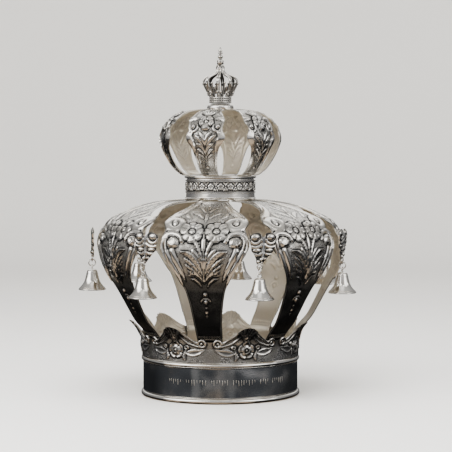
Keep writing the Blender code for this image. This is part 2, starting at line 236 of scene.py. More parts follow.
def petals(u, v, centre, radius, height, count, turn, hollow):
    """A wreath of full round petals with fine clefts between them; hollow sinks the middle of each."""
    x = u - centre[0]
    y = v - centre[1]
    out = np.hypot(x, y) / radius
    lobe = np.abs(np.cos(count * (np.arctan2(y, x) - turn) / 2.0))
    place = out / (0.86 + 0.14 * lobe**0.6)
    cleft = ridge(lobe, 0.26) * held(2.4 * out - 0.9)
    sunk = hollow * rounded((place - 0.7) / 0.17)
    return height * rounded((place - 0.68) / 0.33) * (1.0 - cleft) * (1.0 - sunk)


def flower(u, v, centre, radius, height, count, turn=DOWN):
    """Petals about a granulated heart that lies in a hollow."""
    x = u - centre[0]
    y = v - centre[1]
    out = np.hypot(x, y) / radius
    grains = 0.75 + 0.25 * np.cos(8.0 * np.arctan2(y, x)) * ridge(out - 0.18, 0.08)
    heart = 0.8 * height * rounded(out / 0.27) * grains
    return np.maximum(petals(u, v, centre, radius, height, count, turn, 0.3), heart)


def petal_lines(u, v, centre, radius, count, turn=DOWN):
    """Dark lines between a flower's petals and all round them."""
    x = u - centre[0]
    y = v - centre[1]
    lobe = np.abs(np.cos(count * (np.arctan2(y, x) - turn) / 2.0))
    place = np.hypot(x, y) / radius / (0.86 + 0.14 * lobe**0.6)
    between = ridge(lobe, 0.22) * (place > 0.34) * (place < 1.05)
    return np.maximum.reduce([between, ridge(place - 1.08, 0.09), ridge(place - 0.33, 0.07)])


def both_sides(motif, u, v, *rest):
    """A motif drawn for the +u side, and its mirror image."""
    return np.maximum(motif(u, v, *rest), motif(-u, v, *rest))


def highest(u, v, paired, single):
    """The highest of many motifs, each given as its function and what that asks for.

    The paired ones are drawn for the +u side and have a mirror image, and the single ones stand alone.
    """
    pieces = [both_sides(motif, u, v, *rest) for motif, *rest in paired]
    return np.maximum.reduce(pieces + [motif(u, v, *rest) for motif, *rest in single])


def softened(field, reach):
    """The field blurred over about reach grid steps, in both directions."""
    width = int(3 * reach)
    weights = np.exp(-((np.arange(-width, width + 1) / reach) ** 2))
    weights /= weights.sum()
    for axis in (0, 1):
        pads = [(width, width) if axis == k else (0, 0) for k in (0, 1)]
        padded = np.pad(field, pads, mode="edge")
        field = np.apply_along_axis(np.convolve, axis, padded, weights, mode="valid")
    return field


def bare(relief, depth):
    """1 on the bare ground, 0 where the relief reaches depth."""
    return 1.0 - held(relief / depth)


def tarnish_of(relief, depth, reach=1.3):
    """How dark each place is: black silver stays where the relief lies below its surroundings."""
    hollow = softened(relief, reach) - relief
    return held(hollow / depth)


# ---- meshes
def sheet_mesh(name, outer, inner, tarnish_and_shade, ground, wraps=False):
    """A closed sheet between two (rows, columns, 3) grids of points in metres.

    The darkness and the ground hold a value for each place of the grid, and inside marks the back.  The
    darkness is black oxide in the hollows and, on the main rib and the hanger, painted shade.
    """
    rows, columns = outer.shape[:2]
    count = rows * columns
    index = np.arange(count).reshape(rows, columns)
    if wraps:
        index = np.hstack([index, index[:, :1]])
    a, b, c, d = index[:-1, :-1], index[:-1, 1:], index[1:, 1:], index[1:, :-1]
    front = np.stack([a, b, c, d], axis=-1).reshape(-1, 4)
    back = front[:, ::-1] + count
    rims = [index[0, ::-1], index[-1]]
    if not wraps:
        rims += [index[:, 0], index[::-1, -1]]
    sides = [np.stack([r[:-1], r[:-1] + count, r[1:] + count, r[1:]], axis=-1) for r in rims]
    faces = np.vstack([front, back, *[side[:, ::-1] for side in sides]])
    points = np.vstack([outer.reshape(-1, 3), inner.reshape(-1, 3)])
    mesh = bpy.data.meshes.new(name)
    mesh.from_pydata(points.tolist(), [], faces.tolist())
    zeros = np.zeros(count)
    fields = {
        "tarnish_and_shade": np.concatenate([tarnish_and_shade.reshape(-1), 0.35 * tarnish_and_shade.reshape(-1)]),
        "ground": np.concatenate([ground.reshape(-1), zeros]),
        "inside": np.concatenate([zeros, zeros + 1.0]),
    }
    for field, values in fields.items():
        mesh.attributes.new(field, "FLOAT", "POINT").data.foreach_set("value", values.astype(np.float32))
    mesh.shade_smooth()
    mesh.set_sharp_from_angle(angle=math.radians(50.0))
    return mesh


def round_axis(radius, angle, height):
    """Points in metres round the axis: radius and height in millimetres, angle from the front."""
    radius, angle, height = np.broadcast_arrays(radius, angle, height)
    return np.stack([radius * np.sin(angle), -radius * np.cos(angle), height], axis=-1) * MM


def lathe_rows(points, spacing):
    """Splits a profile of (radius, height) points into short steps, keeping its corners."""
    rows = [points[0]]
    for start, end in zip(points, points[1:]):
        steps = max(1, round(math.dist(start, end) / spacing))
        for i in range(1, steps + 1):
            t = i / steps
            rows.append((start[0] + (end[0] - start[0]) * t, start[1] + (end[1] - start[1]) * t))
    return rows


def mesh_of(name, bm, sharp=None):
    """A smooth mesh made from bm, with creases where its faces meet at more than sharp degrees."""
    mesh = bpy.data.meshes.new(name)
    bm.to_mesh(mesh)
    bm.free()
    mesh.shade_smooth()
    if sharp:
        mesh.set_sharp_from_angle(angle=math.radians(sharp))
    return mesh


def outward_mesh(name, bm, sharp=40.0):
    """A mesh made from bm with its faces turned outwards."""
    bmesh.ops.recalc_face_normals(bm, faces=bm.faces)
    return mesh_of(name, bm, sharp)


def lathe_mesh(name, points, segments, centre=(0.0, 0.0)):
    """A profile in millimetres turned about an upright line; it is closed if it starts off that line."""
    closed = math.dist(points[0], points[-1]) > 0.001 and points[0][0] > 0.001
    bm = bmesh.new()
    line = [bm.verts.new((centre[0] * MM + r * MM, centre[1] * MM, z * MM)) for r, z in points]
    pairs = list(zip(line, line[1:])) + ([(line[-1], line[0])] if closed else [])
    edges = [bm.edges.new(pair) for pair in pairs]
    bmesh.ops.spin(
        bm,
        geom=line + edges,
        cent=(centre[0] * MM, centre[1] * MM, 0.0),
        axis=(0.0, 0.0, 1.0),
        angle=TURN,
        steps=segments,
    )
    bmesh.ops.remove_doubles(bm, verts=bm.verts, dist=0.00001)
    return outward_mesh(name, bm, 35.0)


def half_round(radius, height, bead, steps=12):
    """Points of an outward half-round moulding, from its top to its foot."""
    points = []
    for i in range(steps + 1):
        angle = math.pi / 2 - math.pi * i / steps
        points.append((radius + bead * math.cos(angle), height + bead * math.sin(angle)))
    return points


def tube_rings(path, size, sides):
    """Rings of points round a path; size is a radius, or a function of the share of the way along."""
    path = [Vector(p) for p in path]
    rings = []
    for i, place in enumerate(path):
        ahead = (path[min(i + 1, len(path) - 1)] - path[max(i - 1, 0)]).normalized()
        aside = ahead.cross(Vector((0.0, 0.0, 1.0)))
        aside = aside.normalized() if aside.length > 0.001 else Vector((1.0, 0.0, 0.0))
        over = aside.cross(ahead)
        half = size(i / (len(path) - 1)) if callable(size) else size
        rings.append([
            place + half * (math.cos(TURN * k / sides) * aside + math.sin(TURN * k / sides) * over)
            for k in range(sides)
        ])
    return rings


def add_tube(bm, path, size, sides=8):
    """Adds a tube with closed ends to bm; all in millimetres."""
    rings = [[bm.verts.new(point * MM) for point in ring] for ring in tube_rings(path, size, sides)]
    for low, high in zip(rings, rings[1:]):
        for k in range(sides):
            bm.faces.new((low[k], low[(k + 1) % sides], high[(k + 1) % sides], high[k]))
    bm.faces.new(rings[0][::-1])
    bm.faces.new(rings[-1])


def add_ball(bm, place, radius):
    """Adds a ball to bm; all in millimetres."""
    middle = Matrix.Translation(Vector(place) * MM)
    bmesh.ops.create_uvsphere(bm, u_segments=14, v_segments=9, radius=radius * MM, matrix=middle)


def torus_mesh(name, radius, wire, place, segments=40, sides=12):
    """A ring of wire about Z, moved by a matrix; sizes in millimetres."""
    angles = [TURN * i / segments for i in range(segments)]
    bm = bmesh.new()
    rings = []
    for a in angles:
        ring = []
        for k in range(sides):
            out = radius + wire * math.cos(TURN * k / sides)
            spot = Vector((out * math.cos(a), out * math.sin(a), wire * math.sin(TURN * k / sides)))
            ring.append(bm.verts.new(spot * MM))
        rings.append(ring)
    for i in range(segments):
        for k in range(sides):
            a, b = rings[i], rings[(i + 1) % segments]
            bm.faces.new((a[k], b[k], b[(k + 1) % sides], a[(k + 1) % sides]))
    bmesh.ops.transform(bm, matrix=place, verts=bm.verts)
    return mesh_of(name, bm)


def joined_mesh(name, meshes):
    """Several meshes as one."""
    bm = bmesh.new()
    for mesh in meshes:
        bm.from_mesh(mesh)
    return mesh_of(name, bm, 40.0)


def moved(place, turn=0.0, axis="X"):
    """A matrix that turns a shape about an axis and moves it to a place in millimetres."""
    return Matrix.Translation(Vector(place) * MM) @ Matrix.Rotation(turn, 4, axis)


def in_scene(name, data):
    """A new object in the scene."""
    made = bpy.data.objects.new(name, data)
    bpy.context.scene.collection.objects.link(made)
    return made


def add_piece(name, mesh, material, nodes, turn=0.0):
    """A finished piece that stands for CAD nodes; its mesh is placed on the crown's axis."""
    mesh.transform(Matrix.Translation(AXIS) @ Matrix.Rotation(turn, 4, "Z"))
    mesh.materials.clear()
    mesh.materials.append(material)
    piece = in_scene(name, mesh)
    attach(piece, "root")
    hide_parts(*nodes)


def add_all_round(kinds, count, start=0.0):
    """Copies of meshes round the crown, each for the numbered node of its kind's name."""
    for i in range(count):
        for name, mesh, material, slot in kinds:
            node = f"{name}_{i + 1}"
            add_piece("fine_" + node, mesh.copy(), material, [node], start + TURN * i / count)


# ---- materials
def add_node(tree, kind, inputs=None, **settings):
    """A node with its settings made and its inputs set, or linked where they come from another node."""
    node = tree.nodes.new(kind)
    for key, value in settings.items():
        setattr(node, key, value)
    for key, value in (inputs or {}).items():
        if isinstance(value, bpy.types.NodeSocket):
            tree.links.new(value, node.inputs[key])
        else:
            node.inputs[key].default_value = value
    return node


class Graph:
    """A short way to write a material's nodes."""

    def __init__(self, name):
        self.material = bpy.data.materials.new(name)
        self.material.use_nodes = True
        self.tree = self.material.node_tree
        self.shader = self.tree.nodes["Principled BSDF"]

    def add(self, kind, inputs=None, **settings):
        """A shader node with its inputs set or linked."""
        return add_node(self.tree, "ShaderNode" + kind, inputs, **settings)

    def math(self, operation, first, second):
        """One sum on two values."""
        return self.add("Math", {0: first, 1: second}, operation=operation).outputs[0]

    def field(self, name):
        """A value that the mesh holds at each point."""
        return self.add("Attribute", attribute_name=name).outputs["Fac"]

    def noise(self, scale, detail=3.0):
        """Noise over the object's own coordinates, scale in features per metre."""
        place = self.add("TexCoord").outputs["Object"]
        return self.add("TexNoise", {"Vector": place, "Scale": scale, "Detail": detail}).outputs["Fac"]

    def spread(self, value, low, high, out_low=0.0, out_high=1.0):
        """A value stretched from one span to another, and held inside it."""
        names = ("Value", "From Min", "From Max", "To Min", "To Max")
        return self.add("MapRange", dict(zip(names, (value, low, high, out_low, out_high)))).outputs[0]

    def mix(self, share, first, second):
        """A mix of two colours."""
        return self.add("Mix", {0: share, 6: first, 7: second}, data_type="RGBA").outputs[2]

    def bump(self, height, distance, under=None):
        """Raises the surface by height times distance in metres, on top of another bump."""
        inputs = {"Height": height, "Distance": distance, "Strength": 1.0}
        if under is not None:
            inputs["Normal"] = under
        return self.add("Bump", inputs).outputs["Normal"]

    def connect(self, **sockets):
        """Links values to the shader's own inputs."""
        for key, socket in sockets.items():
            self.tree.links.new(socket, self.shader.inputs[key.replace("_", " ")])


BRIGHT = (0.93, 0.915, 0.885, 1.0)
WARM = (0.88, 0.82, 0.73, 1.0)
# black for the oxide in hollows, and for the painted shade and painted dark reflection that share it
OXIDE_AND_SHADE_BLACK = (0.031, 0.031, 0.032, 1.0)
BACK = (0.88, 0.82, 0.70, 1.0)
FROST = (0.98, 0.95, 0.88, 1.0)
FROST_SHADE = (0.80, 0.76, 0.70, 1.0)
PAPER = (0.80, 0.79, 0.77, 1.0)
PAPER_SHADE = (0.776, 0.7663, 0.7469, 1.0)


def polished_silver():
    """Mirror silver with handling smudges and faint waves from the hammer."""
    g = Graph("polished_silver")
    g.shader.inputs["Metallic"].default_value = 1.0
    smudge = g.spread(g.noise(38.0, 5.0), 0.45, 0.7)
    colour = g.mix(g.math("MULTIPLY", smudge, 0.4), BRIGHT, WARM)
    roughness = g.spread(smudge, 0.0, 1.0, 0.07, 0.2)
    waves = g.bump(g.noise(26.0, 1.0), 0.0012)
    fine = g.bump(g.noise(900.0, 2.0), 0.00002, under=waves)
    g.connect(Base_Color=colour, Roughness=roughness, Normal=fine)
    return g.material


def embossed_silver():
    """Silver, bright where it is high, black in its hollows and where shade is painted, stippled on its
    grounds and matte behind.
    """
    g = Graph("embossed_silver")
    place = g.add("TexCoord").outputs["Object"]
    # this darkness is black oxide in the hollows plus painted shade: a dark reflection painted low on the
    # main rib, and shade painted in the hanger's gaps and on the finial's inward and downward faces
    hollow = g.field("tarnish_and_shade")
    ground = g.field("ground")
    inside = g.field("inside")
    stipple = g.add("TexVoronoi", {"Vector": place, "Scale": 760.0, "Randomness": 1.0}).outputs["Distance"]
    pits = g.spread(stipple, 0.0, 0.45)
    cloud = g.spread(g.noise(60.0, 5.0), 0.35, 0.7)
    shade = g.math("SUBTRACT", g.spread(cloud, 0.0, 1.0, 0.85, 1.05), g.math("MULTIPLY", pits, 0.55))
    dark = g.math("ADD", hollow, g.math("MULTIPLY", ground, shade))
    dark = g.math("MINIMUM", dark, 1.0)
    silver = g.mix(g.math("MULTIPLY", cloud, 0.5), BRIGHT, WARM)
    outside = g.mix(dark, silver, OXIDE_AND_SHADE_BLACK)
    back = g.mix(cloud, BACK, WARM)
    back = g.mix(g.math("MULTIPLY", hollow, 0.6), back, OXIDE_AND_SHADE_BLACK)
    colour = g.mix(inside, outside, back)
    smooth = g.spread(cloud, 0.0, 1.0, 0.1, 0.24)
    worked = g.math("ADD", smooth, g.math("MULTIPLY", dark, 0.3))
    roughness = g.add("Mix", {0: inside, 2: worked, 3: 0.38}).outputs[0]
    crust = g.spread(dark, 0.6, 1.0, 1.0, 0.86)
    metal = g.add("Mix", {0: inside, 2: crust, 3: 0.86}).outputs[0]
    waves = g.bump(g.noise(55.0, 2.0), 0.0008)
    dots = g.bump(g.math("MULTIPLY", pits, ground), 0.0005, under=waves)
    g.connect(Base_Color=colour, Roughness=roughness, Metallic=metal, Normal=dots)
    return g.material


def engraved_silver():
    """The frosted floor of an engraved stroke."""
    g = Graph("engraved_silver")
    g.shader.inputs["Metallic"].default_value = 1.0
    g.shader.inputs["Roughness"].default_value = 0.62
    g.connect(Base_Color=g.mix(g.noise(700.0, 2.0), FROST, FROST_SHADE))
    return g.material


def backdrop_paper():
    """Pale matte paper, a little uneven."""
    g = Graph("backdrop_paper")
    g.shader.inputs["Roughness"].default_value = 0.8
    g.connect(Base_Color=g.mix(g.noise(4.0, 4.0), PAPER, PAPER_SHADE))
    return g.material


# ---- ribs
def line_at(stations, up):
    """A rib's radius, height and half width at each distance up it, smoothly through its stations."""
    table = np.array(stations)
    steps = np.hypot(np.diff(table[:, 0]), np.diff(table[:, 1]))
    lengths = np.concatenate([[0.0], np.cumsum(steps)])
    slopes = np.gradient(table, lengths, axis=0)
    row = np.clip(np.searchsorted(lengths, up, side="right") - 1, 0, len(table) - 2)
    long = (lengths[row + 1] - lengths[row])[..., None]
    t = ((up - lengths[row]) / long[..., 0])[..., None]
    low, high = table[row], table[row + 1]
    curve = (
        (2 * t**3 - 3 * t**2 + 1) * low
        + (t**3 - 2 * t**2 + t) * long * slopes[row]
        + (3 * t**2 - 2 * t**3) * high
        + (t**3 - t**2) * long * slopes[row + 1]
    )
    return curve, lengths[-1]


def rib_mesh(name, stations, columns, rows, motifs):
    """An embossed rib.

    motifs(u, v, edge) gives its relief, its stippled ground and the places painted black, which hold oxide
    and, low on the main rib, a painted dark reflection; edge is the way in from the rib's side.
    """
    _, length = line_at(stations, np.array([0.0]))
    share = np.linspace(0.0, 1.0, rows)
    across = np.linspace(-1.0, 1.0, columns)
    up = length * share
    line, _ = line_at(stations, up)
    slope = np.gradient(line[:, :2], up, axis=0)
    slope /= np.hypot(slope[:, 0], slope[:, 1])[:, None]
    half = line[:, 2:3]
    u = across[None, :] * half
    v = np.repeat(up[:, None], columns, axis=1)
    relief, ground, black = motifs(u, v, half - np.abs(u))

    def place(lift):
        """The chart bent onto the crown, lifted off the rib's centre line."""
        radius = line[:, 0:1] + lift * slope[:, 1:2]
        height = line[:, 1:2] - lift * slope[:, 0:1]
        return round_axis(radius, u / line[:, 0:1], height)

    behind = np.minimum(0.85 * softened(relief, 1.6), relief) - WALL
    fade = held(np.minimum(v, length - v) / 4.0)
    front = place(LIFT + relief * fade)
    back = place(LIFT + behind * fade - WALL * (1.0 - fade))
    # oxide from the relief's hollows, plus the motifs' black: oxide lines and, low on the main rib, a
    # painted dark reflection
    dark = held(0.9 * tarnish_of(relief, 0.35) + black)
    return sheet_mesh(name, front, back, dark, ground)


# the main rib's ornament in its chart, for the +u side
FLOWER = (12.6, 152.2)
FLOWER_RADIUS = 12.4
FLOWER_PETALS = 8
SIDE_BAND = ((37.6, 168.0), (33.5, 177.5), (27.0, 186.5), (21.0, 197.0), (16.0, 209.0), (12.5, 222.0))
KNOB_BAND = (
    *((22.8, 141.0), (25.4, 146.6), (32.4, 149.3), (39.8, 148.0)),
    *((44.4, 142.4), (45.2, 135.0), (42.8, 129.0)),
)
KNOB_DRAPE = ((38.6, 146.0), (41.4, 141.0), (41.0, 134.6), (39.2, 129.0))
LILY = ((0.9, 113.0), (2.2, 124.0), (5.0, 133.6), (9.2, 141.2))
BUD = ((3.2, 119.0), (6.6, 126.4), (11.0, 131.6))
LILY_TONGUE = ((0.0, 130.0), (0.0, 136.0), (0.0, 141.0), (0.0, 147.0))
FROND = ((1.6, 106.0), (5.4, 116.0), (10.8, 124.0), (17.0, 128.6), (23.6, 130.0))
LOW_ARCH = ((1.4, 97.8), (4.4, 103.0), (9.4, 106.4), (15.8, 105.8))
TONGUES = (
    (((19.6, 99.5), (24.2, 111.0), (29.4, 121.5), (33.6, 131.0)), (0.4, 2.4, 3.2, 3.0)),
    (((22.4, 93.0), (28.2, 106.0), (34.6, 117.5), (39.6, 129.5)), (0.4, 2.8, 3.4, 2.8)),
    (((33.0, 109.5), (38.6, 117.5), (43.4, 127.5)), (0.4, 1.9, 1.5)),
)
LEAFLETS = (
    (((3.0, 104.6), (8.6, 113.4), (14.6, 119.6), (21.0, 124.0)), (0.6, 1.6, 1.9, 0.5)),
    (((4.2, 103.6), (9.8, 109.6), (14.8, 113.6), (19.6, 117.8)), (0.5, 1.4, 1.6, 0.4)),
    (((6.0, 103.4), (10.2, 106.8), (13.8, 108.8), (17.4, 111.6)), (0.4, 1.0, 1.2, 0.4)),
    (((3.4, 92.6), (6.6, 97.6), (10.8, 101.0), (15.0, 102.4)), (0.6, 1.5, 1.6, 0.4)),
)
BEADS = ((82.3, 2.4), (72.8, 2.3), (65.3, 1.2), (59.8, 1.7), (55.0, 1.1))
BEAD_ROWS = ((0.0, 25.2), (1.3, 21.9))
MAIN_PAIRED = (
    (flower, FLOWER, FLOWER_RADIUS, 2.0, FLOWER_PETALS),
    (ring, (32.2, 162.4), 8.2, 3.9, 1.7),
    (boss, (32.2, 167.0), 2.6, 2.6, 1.5),
    (dome, (32.2, 162.8), 3.3, 2.4),
    (boss, (32.8, 139.6), 6.8, 5.8, 2.6),
    (ring, (33.4, 140.2), 3.4, 0.9, 3.2),
    (blade, SIDE_BAND, (3.0, 4.6, 4.8, 4.2, 3.6, 3.0), 1.2),
    (blade, KNOB_BAND, (2.0, 2.4, 2.6, 2.6, 2.3, 1.9, 0.9), 2.2),
    (blade, KNOB_DRAPE, (0.8, 1.2, 1.3, 0.6), 2.0),
    (blade, LILY, (0.9, 1.2, 1.5, 2.0), 1.3),
    (blade, BUD, (0.5, 2.1, 1.7), 1.3),
    (blade, FROND, (0.9, 2.4, 3.2, 2.7, 0.6), 2.2, 9, 0.35),
    (blade, LOW_ARCH, (0.8, 1.6, 1.8, 0.5), 1.4, 5, 0.3),
    *((blade, line, widths, 1.6) for line, widths in TONGUES),
    *((blade, line, widths, 1.7, 7, 0.3) for line, widths in LEAFLETS),
    (leaf, ((3.0, 172.0), (8.0, 180.0), (15.0, 184.0)), 2.6, 1.0),
    (leaf, ((16.0, 171.0), (20.0, 177.0), (21.0, 184.0)), 2.2, 0.9),
    (leaf, ((1.5, 184.0), (4.5, 193.0), (9.5, 199.0)), 2.3, 0.9),
)
MAIN_SINGLE = (
    (leaf, ((0.0, 168.0), (0.0, 176.0), (0.0, 184.0)), 2.2, 1.0),
    (leaf, ((0.0, 192.0), (0.0, 200.0), (0.0, 208.0)), 2.0, 0.8),
    (blade, LILY_TONGUE, (0.5, 2.3, 2.1, 0.3), 1.3),
    (blade, ((0.0, 98.0), (0.0, 131.0)), (1.1, 0.8), 1.3),
    *((dome, (0.0, up), size, 0.95 * size) for up, size in BEADS),
    *((dome, (2.6 * i + aside, up), 1.2, 1.2) for aside, up in BEAD_ROWS for i in range(-4, 5)),
)


def main_motifs(u, v, edge):
    """The main rib: scrolls and flowers at the shoulder, a palmette, beads, and tongues along the sides."""
    arch_over_bead = ring(u, v, (0.0, 72.4), 5.0, 0.7, 1.2) * (v > 73.0)
    relief = np.maximum(highest(u, v, MAIN_PAIRED, MAIN_SINGLE), arch_over_bead)
    raised = 1.0 - bare(relief, 0.5)
    lines = both_sides(petal_lines, u, v, FLOWER, FLOWER_RADIUS, FLOWER_PETALS)
    plain_edge = 0.5 * held((96.0 - v) / 6.0) + held((v - 168.0) / 4.0)
    relief = np.maximum(relief, plain_edge * rounded(edge - 1.0) * (1.0 - 0.8 * raised))
    strength = np.interp(v, [90.0, 104.0, 126.0, 158.0, 172.0], [0.4, 0.8, 0.8, 0.8, 0.72])
    ground = bare(relief, 0.35) * held(edge / 3.0) * strength
    # painted dark reflection, partly oxide: the main rib darkens towards its foot, where it would reflect
    # the dark room below
    low_oxide_and_painted_reflection = np.interp(v, [28.0, 45.0, 84.0, 112.0], [0.88, 0.84, 0.78, 0.0])
    return relief, ground, np.maximum(0.75 * lines, low_oxide_and_painted_reflection * (1.0 - raised))


# the upper rib's ornament in its chart, for the +u side; its leaves are cut into teeth
UPPER_FLOWER = (0.0, 72.8)
UPPER_FLOWER_RADIUS = 8.2
UPPER_PETALS = 5
CURL = ((8.9, 69.0), (8.6, 64.4), (11.8, 61.2), (16.0, 61.8), (18.4, 66.0), (18.4, 71.0))
EAR = ((10.6, 76.6), (15.2, 77.2), (19.6, 75.0))
UPPER_LEAVES = (
    (((0.6, 47.0), (1.8, 52.0), (3.4, 56.4), (6.8, 60.6)), (0.4, 1.7, 2.3, 0.8), 0),
    (((1.8, 45.4), (4.8, 50.6), (8.2, 54.6), (11.8, 57.2)), (0.4, 1.6, 1.9, 0.5), 5),
    (((0.8, 38.4), (2.2, 42.8), (5.2, 46.2), (9.4, 48.2)), (0.4, 1.6, 1.9, 0.5), 6),
    (((1.2, 34.2), (3.4, 38.4), (6.2, 41.4), (9.0, 42.6)), (0.4, 1.3, 1.4, 0.4), 5),
    (((1.0, 30.8), (3.6, 33.8), (6.0, 35.8), (8.0, 36.2)), (0.3, 1.1, 1.1, 0.4), 4),
)
UPPER_FAN = [((0.8 * i, 80.0), (2.1 * i, 85.0), (3.3 * i, 90.0 - 0.7 * i * i)) for i in range(-2, 3)]
UPPER_PAIRED = (
    (blade, CURL, (0.9, 1.2, 1.3, 1.3, 1.3, 0.9), 1.6),
    (dome, (13.4, 66.6), 2.2, 2.4),
    (blade, EAR, (1.4, 2.9, 2.6), 1.7),
    *((blade, line, widths, 1.5, cuts, 0.25) for line, widths, cuts in UPPER_LEAVES),
)
UPPER_SINGLE = (
    (petals, UPPER_FLOWER, UPPER_FLOWER_RADIUS, 2.4, UPPER_PETALS, DOWN, 0.35),
    (dome, UPPER_FLOWER, 1.9, 2.2),
    (boss, (0.0, 65.0), 4.8, 3.2, 3.0),
    (blade, ((0.0, 30.0), (0.0, 52.0)), (0.7, 0.5), 1.2),
    (dome, (0.0, 27.6), 1.3, 1.2),
    (dome, (0.0, 19.6), 2.0, 1.4),
    *((blade, line, (0.7, 1.4, 1.1), 2.0) for line in UPPER_FAN),
)


def upper_motifs(u, v, edge):
    """The upper rib: a fan, a flower with curls, a sunk panel of leaves, and broad plain borders."""
    levels = [0.0, 20.0, 34.0, 42.0, 52.0, 60.0, 64.0, 124.0]
    width = np.interp(v, levels, [1.6, 3.0, 3.4, 4.6, 8.6, 7.0, 2.4, 1.6])
    plate = held((width - edge) / 0.9)
    border = plate * (0.7 + 1.8 * held(edge / 8.0))
    foot = 0.9 * ridge(np.abs(v - 11.5) - 1.6, 0.6)
    relief = np.maximum(highest(u, v, UPPER_PAIRED, UPPER_SINGLE), foot)
    relief = np.maximum(relief, border * (0.2 + 0.8 * bare(relief, 0.5)))
    panel = held((edge - width - 0.4) / 0.6) * held((v - 12.0) / 3.0)
    strength = np.interp(v, [30.0, 40.0, 92.0, 100.0], [0.55, 0.85, 0.85, 0.3])
    lines = petal_lines(u, v, UPPER_FLOWER, UPPER_FLOWER_RADIUS, UPPER_PETALS)
    return relief, bare(relief, 0.35) * panel * strength, 0.85 * lines


# ---- gallery
CREST_HALF = 10.6
SCROLL_ASIDE = 30.4
SCROLL_RADIUS = 4.5
VALLEY = 66.0


def gallery_edge(u):
    """Height of the gallery's top edge in millimetres, u millimetres from a crest's middle."""
    u = np.abs(u)
    crest = CREST_TOP - 0.8 - 0.055 * u**2 + 0.9 * np.abs(np.cos(np.pi * u / 4.4))
    strap = 66.2 + 10.5 * held((27.0 - u) / 17.0) ** 1.5
    scroll = 64.8 + np.sqrt(np.clip(SCROLL_RADIUS**2 - (u - SCROLL_ASIDE) ** 2, 0.0, None))
    scroll = np.where(np.abs(u - SCROLL_ASIDE) < SCROLL_RADIUS, scroll, 0.0)
    top = np.where(u < CREST_HALF, np.maximum(crest, strap), strap)
    return np.maximum(scroll, np.where(u > 30.0, VALLEY, top))


# the gallery's ornament in its chart, for the +u side of a crest
ROSE = (0.4, 57.0)
ROSE_RADIUS = 9.0
ROSE_PETALS = 5
STRAP_ABOVE = ((7.8, 77.4), (12.0, 73.4), (16.4, 70.2), (21.0, 67.2), (26.4, 63.2), (30.0, 60.8))
STRAP_BELOW = ((7.4, 71.6), (10.8, 68.0), (15.6, 64.6), (21.6, 62.4), (28.6, 60.6))
ALMOND = ((12.4, 54.0), (19.0, 54.4), (26.0, 55.4), (32.4, 58.0))
ALMOND_SLIT = ((16.0, 53.6), (22.0, 54.6), (28.4, 56.4))
SIDE_LEAF = ((11.4, 46.2), (10.2, 50.6), (11.4, 55.4))
GALLERY_PAIRED = (
    (blade, STRAP_ABOVE, (1.0, 1.3, 1.3, 1.2, 1.1, 0.9), 1.5),
    (blade, STRAP_BELOW, (0.8, 1.1, 1.2, 1.1, 0.8), 1.4),
    (ring, (30.2, 64.2), 3.6, 1.1, 1.6),
    (dome, (30.0, 64.2), 1.4, 1.3),
    (blade, ALMOND, (0.5, 3.6, 4.0, 2.6, 0.3), 1.7, 0, 0.0, 0.75),
    (blade, SIDE_LEAF, (0.4, 2.1, 0.5), 2.4, 0, 0.0, 0.6),
    (ring, (13.4, 60.2), 1.7, 0.8, 1.9),
)
GALLERY_SINGLE = [
    (petals, ROSE, ROSE_RADIUS, 1.8, ROSE_PETALS, UP, 0.7),
    (ring, ROSE, 3.2, 0.8, 2.2),
    (boss, ROSE, 1.5, 1.9, 2.2),
    (boss, (0.4, 66.2), 3.6, 1.1, 2.0),
]
# the fan's five flutes, each with a fine line along it
for i in range(-2, 3):
    flute_top = ((2.6 * i, 75.0), (4.3 * i, CREST_TOP - 0.4 - 0.9 * i * i))
    GALLERY_SINGLE += [
        (blade, ((0.8 * i, 68.0), *flute_top), (0.8, 2.2, 2.3), 1.5),
        (blade, ((0.8 * i, 69.0), *flute_top), (0.3, 0.45, 0.4), 2.4),
    ]


def gallery_motifs(u, v, edge):
    """One bay: a black fan at its crest, straps down to scrolls, and a rose between leaves."""
    relief = highest(u, v, GALLERY_PAIRED, GALLERY_SINGLE)
    below = 1.0 - held((np.abs(u) - 9.0) / 2.0)
    fan = below * held((v - 68.0) / 2.5) * bare(relief - 1.6, 0.5)
    slit = both_sides(blade, u, v, ALMOND_SLIT, (0.4, 2.3, 0.4), 1.0)
    rim = (1.0 - below) * held((34.0 - np.abs(u)) / 2.0)
    relief = np.maximum(relief, rim * 0.9 * rounded((edge - 0.9) / 0.9))
    lines = petal_lines(u, v, ROSE, ROSE_RADIUS, ROSE_PETALS, UP)
    black = 0.15 + 0.75 * fan + 0.6 * np.maximum(slit, lines)
    return relief, 0.75 * bare(relief, 0.35), black


def gallery_mesh():
    """The whole gallery: one bay for each main rib, flaring towards its crests."""
    bay_columns = 74
    rows = 48
    foot = BAND_HEIGHT + GALLERY_GAP
    along = np.arange(bay_columns * MAIN_RIBS) / bay_columns
    u_line = (along % 1.0 - 0.5) * TURN / MAIN_RIBS * GALLERY_RADIUS
    share = np.linspace(0.0, 1.0, rows)[:, None]
    top = gallery_edge(u_line)[None, :]
    v = foot + (top - foot) * share
    u = np.repeat(u_line[None, :], rows, axis=0)
    relief, ground, black = gallery_motifs(u, v, top - v)
    lean = np.clip((v - FLARE_START) / (CREST_TOP - FLARE_START), 0.0, None)
    middle = GALLERY_RADIUS + GALLERY_FLARE * lean**2.2 + LIFT
    angle = along * TURN / MAIN_RIBS
    behind = np.minimum(0.8 * softened(relief, 1.4), relief) - WALL
    outer = round_axis(middle + relief, angle, v)
    inner = round_axis(middle + behind, angle, v)
    dark = held(black + 0.8 * tarnish_of(relief, 0.45, 1.8))
    return sheet_mesh("gallery", outer, inner, dark, ground, True)


